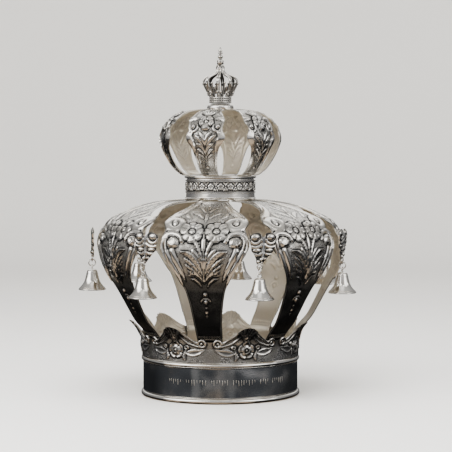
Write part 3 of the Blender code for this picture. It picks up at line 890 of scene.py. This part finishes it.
# ---- neck ring, base band and collar
NECK_RADIUS = 38.0
NECK_WALL = 2.4
NECK_BORE = (33.8, 35.4)             # the least and the greatest radius of its inside
NECK_BAYS = 22
FRIEZE_FLOOR = 37.4
FRIEZE_MIDDLE = 229.2
FRIEZE_HALF = 5.4
NECK_PROFILE = (
    *((35.6, 215.3), (38.6, 215.3), (38.9, 216.3), (37.9, 217.4), (37.7, 221.8), (38.7, 222.3)),
    *((38.7, 223.2), (FRIEZE_FLOOR, 223.7), (FRIEZE_FLOOR, 234.7), (38.7, 235.1), (38.7, 235.9)),
    *((37.0, 236.4), (36.8, 237.6), (39.3, 238.5), (39.5, 239.4), (39.2, 240.3), (34.4, 240.3)),
)
NECK_PAIRED = (
    (blade, ((2.2, 4.3), (4.2, 3.6), (5.4, 1.2)), (0.4, 0.8, 0.6), 1.4),
    (blade, ((3.0, -4.2), (4.4, -2.4), (5.4, -3.8)), (0.5, 0.8, 0.4), 1.4),
    (dome, (5.0, -0.6), 0.8, 1.3),
)
NECK_SINGLE = ((flower, (0.0, 0.0), 3.7, 1.5, 5, UP),)


def neck_ring_mesh():
    """The ring between the tiers, with a frieze of small flowers and leafy curls."""
    columns = 330
    rows = np.array(lathe_rows(NECK_PROFILE, 0.52))
    out, height = rows[:, 0:1], rows[:, 1:2]
    angle = np.arange(columns) / columns * TURN
    bay = TURN * NECK_RADIUS / NECK_BAYS
    u_line = (angle * NECK_RADIUS / bay % 1.0 - 0.5) * bay
    u, v = np.broadcast_arrays(u_line[None, :], height - FRIEZE_MIDDLE)
    frieze = held(FRIEZE_HALF - np.abs(v)) * (np.abs(out - FRIEZE_FLOOR) < 0.1)
    relief = highest(u, v, NECK_PAIRED, NECK_SINGLE) * frieze
    ground = frieze * bare(relief, 0.5)
    profile = np.repeat(out, columns, axis=1)
    dark = tarnish_of(relief, 0.35, 1.2) + 0.45 * tarnish_of(profile, 0.4, 2.0) + 0.8 * ground
    outer = round_axis(out + relief, angle, height)
    inner = round_axis(np.clip(out - NECK_WALL, *NECK_BORE), angle, height)
    return sheet_mesh("neck_ring", outer, inner, held(dark), ground, True)


def base_band_mesh():
    """The plain band, with a round moulding at its foot and its top."""
    inner = BAND_RADIUS - BAND_WALL
    root = BAND_RADIUS - BAND_STEP
    below_top = BAND_HEIGHT - 2 * TOP_BEAD
    above_foot = 2 * FOOT_BEAD
    points = half_round(root, BAND_HEIGHT - TOP_BEAD, TOP_BEAD)
    points += [(root, below_top - 0.7), (BAND_RADIUS, below_top - 1.2)]
    points += [(BAND_RADIUS, above_foot + 1.2), (root, above_foot + 0.7)]
    points += half_round(root, FOOT_BEAD, FOOT_BEAD)
    points += [(inner - 1.0, 0.0), (inner, FOOT_BEAD), (inner, BAND_HEIGHT)]
    return lathe_mesh("base_band", points, segments=240)


def collar_mesh():
    """The domed cap on the upper ribs."""
    dome_line = ((0.0, 319.9), (8.0, 319.9), (10.8, 319.6), (13.4, 318.0), (14.6, 315.6), (14.2, 313.6))
    points = [tuple(p) for p in bent_line(dome_line, 40)]
    return lathe_mesh("collar", points + [(13.2, 313.6), (12.2, 317.0), (0.0, 318.4)], segments=96)


def stroke_marks():
    """Rows of shallow upright strokes where an inscription would be.  They aren't letters."""
    bm = bmesh.new()
    line_top = 25.8
    line_turn = math.radians(11.0)
    stroke_radius = 0.27
    word_gap = 3.8
    radius = BAND_RADIUS - 0.1
    chance = np.random.default_rng(11)
    aside = -64.0
    for group in (6, 8, 7, 9, 4, 6):
        for _ in range(group):
            tall = chance.choice((1.5, 2.6, 3.0))
            top = line_top - 0.4 * chance.random()
            lean = 0.2 * (chance.random() - 0.5)
            path = []
            for k in range(5):
                angle = (aside + lean * (k - 2.0)) / BAND_RADIUS + line_turn
                path.append((radius * math.sin(angle), -radius * math.cos(angle), top - tall * k / 2.0))
            add_tube(bm, path, stroke_radius, 6)
            aside += 2.6 + 0.9 * chance.random()
        aside += word_gap
    return mesh_of("band_strokes", bm)


# ---- miniature crown
def round_copies_tree():
    """Geometry nodes that set copies of a shape round the Z axis, each facing outwards."""
    tree = bpy.data.node_groups.new("round_copies", "GeometryNodeTree")
    for name, kind in (("Geometry", "Geometry"), ("Count", "Int"), ("Material", "Material")):
        tree.interface.new_socket(name, in_out="INPUT", socket_type="NodeSocket" + kind)
    tree.interface.new_socket("Geometry", in_out="OUTPUT", socket_type="NodeSocketGeometry")
    given = add_node(tree, "NodeGroupInput").outputs
    points = add_node(tree, "GeometryNodePoints", {"Count": given["Count"]}).outputs[0]
    index = add_node(tree, "GeometryNodeInputIndex").outputs[0]
    share = add_node(tree, "ShaderNodeMath", {0: index, 1: given["Count"]}, operation="DIVIDE").outputs[0]
    angle = add_node(tree, "ShaderNodeMath", {0: share, 1: TURN}, operation="MULTIPLY").outputs[0]
    turn = add_node(tree, "ShaderNodeCombineXYZ", {"Z": angle}).outputs[0]
    inputs = {"Points": points, "Instance": given["Geometry"], "Rotation": turn}
    copies = add_node(tree, "GeometryNodeInstanceOnPoints", inputs).outputs[0]
    real = add_node(tree, "GeometryNodeRealizeInstances", {"Geometry": copies}).outputs[0]
    inputs = {"Geometry": real, "Material": given["Material"]}
    finish = add_node(tree, "GeometryNodeSetMaterial", inputs).outputs[0]
    add_node(tree, "NodeGroupOutput", {0: finish})
    return tree


def repeated_round(mesh, count, material):
    """The mesh repeated round the Z axis, as one new mesh."""
    holder = in_scene("holder", mesh)
    copies = holder.modifiers.new("copies", "NODES")
    copies.node_group = COPIES
    inputs = COPIES.interface.items_tree
    copies[inputs["Count"].identifier] = count
    copies[inputs["Material"].identifier] = material
    view = bpy.context.evaluated_depsgraph_get()
    made = bpy.data.meshes.new_from_object(holder.evaluated_get(view))
    bpy.data.objects.remove(holder)
    return made


# the miniature crown's sizes in millimetres; each line is (radius, height)
FINIAL_ARCHES = 8
FINIAL_ARCH = (
    *((11.4, 327.4), (13.4, 331.4), (16.2, 336.0), (18.1, 340.6), (18.3, 344.6)),
    *((16.4, 347.6), (12.0, 349.8), (7.4, 351.8), (4.4, 354.6), (3.4, 357.6)),
)
STEM_BAYS = 4
SPIRE = (
    *((0.0, 381.5), (0.6, 381.2), (1.4, 379.2), (2.2, 377.4), (2.1, 376.9), (1.0, 376.4), (1.0, 376.0)),
    *((2.5, 375.4), (2.5, 374.4), (1.1, 373.7), (1.1, 373.2), (2.5, 372.2), (2.9, 371.0), (2.4, 369.7)),
    *((1.3, 368.9), (1.3, 368.3), (3.2, 367.4), (3.8, 366.2), (3.7, 365.5), (3.2, 365.1), (3.7, 364.7)),
    *((3.8, 363.8), (3.1, 362.6), (2.4, 362.0), (2.3, 358.5), (2.2, 354.0), (0.0, 353.6)),
)
FOOT_RADIUS = 11.6
FOOT_GROOVE = 9.9
FOOT_RINGS = (326.0, 323.7, 321.4)
FOOT_BEADS = 28


def finial_bay_mesh():
    """One arch over a crescent, with three uprights beside it, facing -Y."""
    bm = bmesh.new()
    half = TURN / FINIAL_ARCHES / 2.0
    # the arch: two cords that swell at its shoulder, and a bead between them
    path = [(0.0, -radius, height) for radius, height in bent_line(FINIAL_ARCH, 54)]
    spread = np.interp(np.linspace(0.0, 1.0, len(path)), [0.0, 0.6, 1.0], [0.8, 1.15, 0.6])
    for hand in (-1.0, 1.0):
        cord = [(x + hand * aside, y, z) for (x, y, z), aside in zip(path, spread)]
        add_tube(bm, cord, lambda s: 0.72 + 0.38 * math.exp(-(((s - 0.6) / 0.22) ** 2)))
    add_ball(bm, (0.0, -18.6, 341.4), 1.45)
    # the crescent, horns down, and the bead it lies over
    crescent = []
    for k in range(11):
        angle = math.pi * (0.02 + 0.96 * k / 10.0)
        rise = 3.0 * math.sin(angle)
        crescent.append((2.6 * math.cos(angle), -13.6 - 0.45 * rise, 330.2 + rise))
    add_tube(bm, crescent, 0.8)
    add_ball(bm, (0.0, -13.2, 329.6), 1.4)
    # the uprights, the tallest halfway to the next arch with a bead on top
    for share, foot, tip in ((1.0, 328.0, 341.6), (0.55, 331.0, 338.6), (1.45, 331.0, 338.6)):
        turned = Matrix.Rotation(share * half, 3, "Z")
        rod = []
        for height in (foot, (foot + tip) / 2.0, tip):
            rod.append(turned @ Vector((0.0, -11.6 - 0.46 * (height - 327.4), height)))
        add_tube(bm, bent_line(rod, 12), lambda s: 0.8 - 0.25 * s)
    add_ball(bm, Matrix.Rotation(half, 3, "Z") @ Vector((0.0, -18.1, 341.8)), 1.35)
    return outward_mesh("finial_bay", bm)


def finial_stem_bay():
    """Two crossing bars that make one diamond of the lattice round the stem."""
    bm = bmesh.new()
    for hand in (-1.0, 1.0):
        path = []
        for k in range(9):
            t = k / 8.0
            angle = hand * (t - 0.5) * TURN / STEM_BAYS
            out = 3.3 + 0.9 * math.sin(math.pi * t)
            path.append((out * math.sin(angle), -out * math.cos(angle), 354.8 + 7.6 * t))
        add_tube(bm, path, 0.62)
    return outward_mesh("finial_stem", bm)


def finial_foot_mesh():
    """The drum under the arches: three round mouldings with grooves between them."""
    points = [(0.0, 326.9), (11.9, 326.9)]
    for middle in FOOT_RINGS:
        points += half_round(FOOT_RADIUS, middle, 0.75, 6)
        if middle != FOOT_RINGS[-1]:
            points += [(FOOT_GROOVE, middle - 0.85), (FOOT_GROOVE, middle - 1.5)]
    points += [(FOOT_RADIUS, 320.6), (0.0, 320.5)]
    return lathe_mesh("finial_foot", points, segments=96)


def bead_mesh(height):
    """A bead that lies in a groove of the drum."""
    bm = bmesh.new()
    add_ball(bm, (0.0, -11.2, height), 0.8)
    return outward_mesh("bead", bm)


def blacken_grooves_and_shade_undersides(mesh):
    """Blackens the grooves of the foot and the spire as oxide, and paints shade on whatever faces
    inwards or down.
    """
    count = 3 * len(mesh.vertices)
    places = np.empty(count)
    mesh.vertices.foreach_get("co", places)
    normals = np.empty(count)
    mesh.vertex_normals.foreach_get("vector", normals)
    x, y, z = places.reshape(-1, 3).T / MM
    nx, ny, nz = normals.reshape(-1, 3).T
    out = np.hypot(x, y)
    facing = 0.8 * (nx * x + ny * y) / np.maximum(out, 0.01) + 0.6 * nz
    # how far the shape reaches out at each level and a little above and below it
    level = np.round(z / 0.4).astype(int)
    level -= level.min()
    widest = np.zeros(level.max() + 1)
    np.maximum.at(widest, level, out)
    reach = np.max([np.roll(widest, k) for k in range(-3, 4)], axis=0)
    turned = (z > 359.0) | (z < 327.4)
    groove = np.clip((reach[level] - out - 0.9) / 1.6, 0.0, 0.9) * turned
    # painted shade: whatever faces inwards or downwards is darkened; the grooves' black is oxide
    dark = np.maximum(groove, np.clip(0.72 - 0.95 * facing, 0.04, 0.88))
    mesh.attributes.new("tarnish_and_shade", "FLOAT", "POINT").data.foreach_set("value", dark.astype(np.float32))


# ---- brackets, jump rings and bells
SPRIG = ((-2.0, 157.3, 2.2), (2.6, 157.6, 1.6), (-5.4, 155.0, 1.6), (-1.6, 153.6, 1.4), (-4.6, 151.9, 1.2))
HANGER_FOOT = 151.6
HANGER_PAIRED = (
    (boss, (8.6, 179.8), 4.4, 3.4, 1.8),
    (boss, (7.0, 166.6), 4.2, 1.7, 1.5),
)
HANGER_SINGLE = (
    (blade, ((0.0, 186.0), (0.0, 172.0), (-0.4, 158.0)), (3.0, 2.2, 1.6), 1.4),
    *((dome, (aside, up), size, 1.1 * size) for aside, up, size in SPRIG),
)
# folds: middle, radius, half width, and the height below which each shows
FOLDS = (
    ((8.6, 179.2), 6.0, 1.5, 178.4),
    ((8.6, 179.2), 9.8, 1.6, 174.4),
    ((6.6, 169.4), 7.6, 1.5, 164.4),
)


def hanger_motifs(u, v):
    """Two bosses over nested folds, a strap down the middle and a curled sprig at the tail."""
    pieces = [highest(u, v, HANGER_PAIRED, HANGER_SINGLE)]
    for middle, radius, width, top in FOLDS:
        pieces.append(both_sides(ring, u, v, middle, radius, width, 1.3) * (v < top))
    return np.maximum.reduce(pieces)


def hanger_mesh():
    """A bracket that narrows downwards to its curled tail, with the eye for its jump ring."""
    across = np.linspace(-1.0, 1.0, 39)[None, :]
    share = np.linspace(0.0, 1.0, 62)[:, None]
    top = 184.6 - 4.6 * ridge(across, 0.2) - 3.4 * np.abs(across) ** 5
    v = HANGER_FOOT + (top - HANGER_FOOT) * share
    levels = [HANGER_FOOT, 154.0, 158.0, 162.0, 166.0, 171.0, 173.5, 178.0, 182.0, 185.0]
    half = np.interp(v, levels, [2.2, 3.6, 5.6, 8.6, 12.0, 13.0, 13.6, 15.0, 14.2, 12.0])
    middle = np.interp(v, [HANGER_FOOT, 154.0, 158.0, 164.0, 170.0], [-4.0, -3.4, -1.8, -0.5, 0.0])
    u = middle + across * half
    relief = hanger_motifs(u, v)
    behind = np.minimum(softened(relief, 1.5) * 0.7 - WALL, relief - 0.8)

    def place(lift):
        """The chart bowed across, lifted off the bracket's face."""
        bow = 1.1 * (1.0 - across**2)
        return np.stack([u, -BELL_CIRCLE + 1.2 - bow - lift, v], axis=-1) * MM

    # painted shade: the bare ground between the folds is darkened to stand for the deep shade in the gaps
    dark = held(0.9 * tarnish_of(relief, 0.4, 1.1) + 0.9 * bare(relief, 0.4))
    sheet = sheet_mesh("hanger_sheet", place(relief), place(behind), dark, np.zeros_like(relief))
    eye_place = moved((EYE_ASIDE, -BELL_CIRCLE, EYE_HEIGHT), math.pi / 2)
    eye = torus_mesh("hanger_eye", 2.7, 0.8, eye_place, segments=28, sides=10)
    return joined_mesh("hanger", (sheet, eye))


def bell_profile():
    """A bell's closed profile: (radius, height) down its outside and back up its inside."""
    shoulder = ((0.0, 138.2), (3.8, 137.9), (5.5, 136.4), (6.2, 133.8), (7.1, 130.0))
    skirt = ((8.3, 126.0), (10.0, 122.6), (12.6, 119.4), (14.6, 117.2), (15.0, 116.6))
    lip = [(15.0, 116.0), (14.7, 115.7), (14.2, 115.8)]
    hollow = ((11.4, 119.4), (7.8, 125.0), (6.0, 130.6), (4.9, 134.4), (0.0, 136.6))
    outside = bent_line((*shoulder, *skirt), 36)
    return [tuple(p) for p in outside] + lip + [tuple(p) for p in bent_line(hollow, 16)]


def bell_mesh():
    """A bell with a fine band at its lip and its shoulder, and the loop it hangs by."""
    centre = (EYE_ASIDE, -BELL_CIRCLE)
    pieces = [lathe_mesh("bell_body", bell_profile(), 48, centre)]
    for out, height, wire in ((13.6, 118.3, 0.3), (6.3, 133.6, 0.25)):
        place = moved((*centre, height))
        pieces.append(torus_mesh("bell_band", out, wire, place, segments=48, sides=6))
    upright = Matrix.Diagonal((1.0, 1.0, 1.35, 1.0)) @ Matrix.Rotation(math.pi / 2, 4, "X")
    place = moved((*centre, LOOP_MIDDLE)) @ upright
    pieces.append(torus_mesh("bell_loop", 2.0, 0.62, place, segments=28, sides=10))
    return joined_mesh("bell", pieces)


# ---- stage, light and camera
FLOOR_RADIUS = 1900.0                 # the stage is in millimetres, and the lights are in metres
COVE_RADIUS = 900.0
BACKDROP_TOP = 3200.0
LIGHT_AIM = 0.2                       # the height that the lights face
# azimuth from the camera towards its right and elevation in degrees, distance, size, watts
LIGHTS = (
    ("key", -35.0, 38.0, 1.5, (1.4, 1.1), 27.0),
    ("fill", 62.0, 18.0, 1.7, (1.4, 1.4), 10.0),
    ("top", 0.0, 82.0, 1.3, (1.2, 1.2), 11.0),
    ("backdrop_light", 0.0, 60.0, 2.4, (2.0, 2.0), 34.0),
)


def stage():
    """A pale floor that curves up into a pale backdrop all round."""
    points = [(0.001, 0.0), (FLOOR_RADIUS, 0.0)]
    for k in range(1, 13):
        angle = math.pi / 2 * k / 12
        out = FLOOR_RADIUS + COVE_RADIUS * math.sin(angle)
        points.append((out, COVE_RADIUS * (1.0 - math.cos(angle))))
    points.append((FLOOR_RADIUS + COVE_RADIUS, BACKDROP_TOP))
    mesh = lathe_mesh("backdrop", points, segments=96)
    mesh.materials.append(backdrop_paper())
    backdrop = in_scene("backdrop", mesh)
    backdrop.visible_glossy = False


def from_view(azimuth, elevation):
    """The direction at degrees from the camera's side towards its right, and up."""
    a = VIEW_AZIMUTH + math.radians(azimuth)
    e = math.radians(elevation)
    return Vector((math.sin(a) * math.cos(e), -math.cos(a) * math.cos(e), math.sin(e)))


def area_light(name, azimuth, elevation, distance, size, power):
    """A soft light that faces the crown.  It lights the backdrop and never shows in the silver."""
    data = bpy.data.lights.new(name, "AREA")
    data.shape = "RECTANGLE"
    data.size, data.size_y = size
    data.energy = power
    light = in_scene(name, data)
    away = from_view(azimuth, elevation)
    light.location = Vector((AXIS.x, AXIS.y, LIGHT_AIM)) + away * distance
    light.rotation_euler = away.to_track_quat("Z", "Y").to_euler()
    light.visible_glossy = False


# the room by the sine of its elevation: dark below, pale from just under the horizon upwards
ROOM_COLOURS = (
    (-1.0, (0.010, 0.011, 0.012)),
    (-0.86, (0.011, 0.012, 0.014)),
    (-0.45, (0.040, 0.040, 0.041)),
    (-0.22, (0.056, 0.056, 0.057)),
    (-0.19, (0.046, 0.049, 0.055)),
    (-0.12, (0.060, 0.064, 0.071)),
    (-0.06, (0.38, 0.38, 0.39)),
    (0.20, (0.48, 0.475, 0.47)),
    (0.60, (0.34, 0.335, 0.33)),
    (1.0, (0.50, 0.495, 0.48)),
)
BEHIND = 0.4                          # how bright the room's lower half is behind the crown
SOFT_WHITE = (1.0, 0.99, 0.96)
TABLE_WOOD = (0.46, 0.37, 0.28)
# soft patches in degrees: azimuth from the camera towards its right, elevation, the radii where each is
# full and where it is gone, and its strength
WINDOWS = (
    (-56.0, 28.0, 8.0, 32.0, 2.2),
    (54.0, 26.0, 6.0, 28.0, 1.6),
    (0.0, 62.0, 5.0, 24.0, 0.5),
    (180.0, 40.0, 20.0, 36.0, 1.0),
    (-22.0, 40.0, 1.5, 6.0, 3.0),
    (24.0, 46.0, 1.5, 6.0, 2.4),
    (-86.0, 22.0, 2.0, 8.0, 2.6),
    (88.0, 26.0, 2.0, 8.0, 2.2),
    (-38.0, -8.0, 1.0, 8.0, 0.08),
    (16.0, -8.0, 1.0, 7.0, 0.04),
)
TABLE_EDGES = (
    (-6.0, -38.0, 18.0, 27.0, 1.0),
    (-42.0, -30.0, 10.0, 18.0, 1.0),
    (-76.0, -27.0, 12.0, 18.0, 1.1),
    (36.0, -29.0, 11.0, 18.0, 1.1),
    (180.0, -38.0, 16.0, 32.0, 0.7),
)


def room():
    """Soft surroundings, seen only in the silver."""
    world = bpy.data.worlds.new("room")
    bpy.context.scene.world = world
    world.use_nodes = True
    tree = world.node_tree

    def spread(inputs, **settings):
        """A value stretched from one span to another, and held inside it."""
        return add_node(tree, "ShaderNodeMapRange", inputs, **settings).outputs[0]

    def vector(operation, inputs, output=0):
        """One sum on vectors."""
        return add_node(tree, "ShaderNodeVectorMath", inputs, operation=operation).outputs[output]

    place = add_node(tree, "ShaderNodeTexCoord").outputs["Generated"]
    up = add_node(tree, "ShaderNodeSeparateXYZ", {0: place}).outputs["Z"]
    ramp = add_node(tree, "ShaderNodeValToRGB", {0: spread({"Value": up, "From Min": -1.0})})
    stops = ramp.color_ramp.elements
    for _ in ROOM_COLOURS[2:]:
        stops.new(0.5)
    for stop, (height, colour) in zip(stops, ROOM_COLOURS):
        stop.position = (height + 1.0) / 2.0
        stop.color = (*colour, 1.0)
    front = vector("DOT_PRODUCT", {0: place, 1: from_view(0.0, 0.0)}, "Value")
    ahead = spread({"Value": front, "From Min": -0.5, "From Max": 0.3})
    above = spread({"Value": up, "From Min": 0.2, "From Max": 0.6})
    lit = add_node(tree, "ShaderNodeMath", {0: ahead, 1: above}, operation="MAXIMUM").outputs[0]
    total = vector("SCALE", {0: ramp.outputs[0], "Scale": spread({"Value": lit, "To Min": BEHIND})})
    patches = [(*window, SOFT_WHITE) for window in WINDOWS] + [(*edge, TABLE_WOOD) for edge in TABLE_EDGES]
    for azimuth, elevation, full, gone, strength, colour in patches:
        limits = {
            "Value": vector("DOT_PRODUCT", {0: place, 1: from_view(azimuth, elevation)}, "Value"),
            "From Min": math.cos(math.radians(gone)),
            "From Max": math.cos(math.radians(full)),
            "To Max": strength,
        }
        patch = spread(limits, interpolation_type="SMOOTHSTEP")
        total = vector("ADD", {0: total, 1: vector("SCALE", {0: colour, "Scale": patch})})
    tree.links.new(total, tree.nodes["Background"].inputs["Color"])


def camera():
    """A long lens a little right of the crown's front, and slightly above its middle."""
    data = bpy.data.cameras.new("camera")
    data.sensor_width = 36.0
    data.lens = VIEW_LENS
    seen = in_scene("camera", data)
    seen.location = (
        AXIS.x + VIEW_DISTANCE * math.sin(VIEW_AZIMUTH),
        AXIS.y - VIEW_DISTANCE * math.cos(VIEW_AZIMUTH),
        VIEW_HEIGHT,
    )
    seen.rotation_euler = (math.pi / 2 - VIEW_DOWN, 0.0, VIEW_AZIMUTH - VIEW_ASIDE)
    bpy.context.scene.camera = seen


# ---- the crown
COPIES = round_copies_tree()
embossed = embossed_silver()
polished = polished_silver()

add_piece("fine_base_band", base_band_mesh(), polished, ["base_band"])
add_piece("fine_band_strokes", stroke_marks(), engraved_silver(), ["base_band"])
add_piece("fine_gallery", gallery_mesh(), embossed, ["gallery"])
main_rib = rib_mesh("main_rib", MAIN_RIB, columns=77, rows=196, motifs=main_motifs)
add_all_round([("main_rib", main_rib, embossed, "oxidised_silver")], MAIN_RIBS)
add_piece("fine_neck_ring", neck_ring_mesh(), embossed, ["neck_ring"])
upper_rib = rib_mesh("upper_rib", UPPER_RIB, columns=51, rows=130, motifs=upper_motifs)
add_all_round([("upper_rib", upper_rib, embossed, "oxidised_silver")], UPPER_RIBS, UPPER_TURN)
add_piece("fine_collar", collar_mesh(), polished, ["collar"])

finial_pieces = [
    finial_foot_mesh(),
    lathe_mesh("finial_spire", SPIRE, segments=40),
    repeated_round(finial_bay_mesh(), FINIAL_ARCHES, embossed),
    repeated_round(finial_stem_bay(), STEM_BAYS, embossed),
]
for high, low in zip(FOOT_RINGS, FOOT_RINGS[1:]):
    finial_pieces.append(repeated_round(bead_mesh((high + low) / 2.0), FOOT_BEADS, embossed))
finial = joined_mesh("finial_crown", finial_pieces)
blacken_grooves_and_shade_undersides(finial)
add_piece("fine_finial_crown", finial, embossed, ["finial_crown"])

jump_ring = torus_mesh("ring", 3.7, 0.6, moved((EYE_ASIDE, -BELL_CIRCLE, RING_MIDDLE), math.pi / 2, "Y"))
hangings = (
    ("hanger", hanger_mesh(), embossed, "oxidised_silver"),
    ("ring", jump_ring, polished, "polished_silver"),
    ("bell", bell_mesh(), polished, "polished_silver"),
)
halfway_to_next_rib = math.pi / MAIN_RIBS
add_all_round(hangings, MAIN_RIBS, halfway_to_next_rib)

stage()
room()
for light in LIGHTS:
    area_light(*light)
camera()
bpy.context.scene.view_settings.look = "AgX - Medium High Contrast"
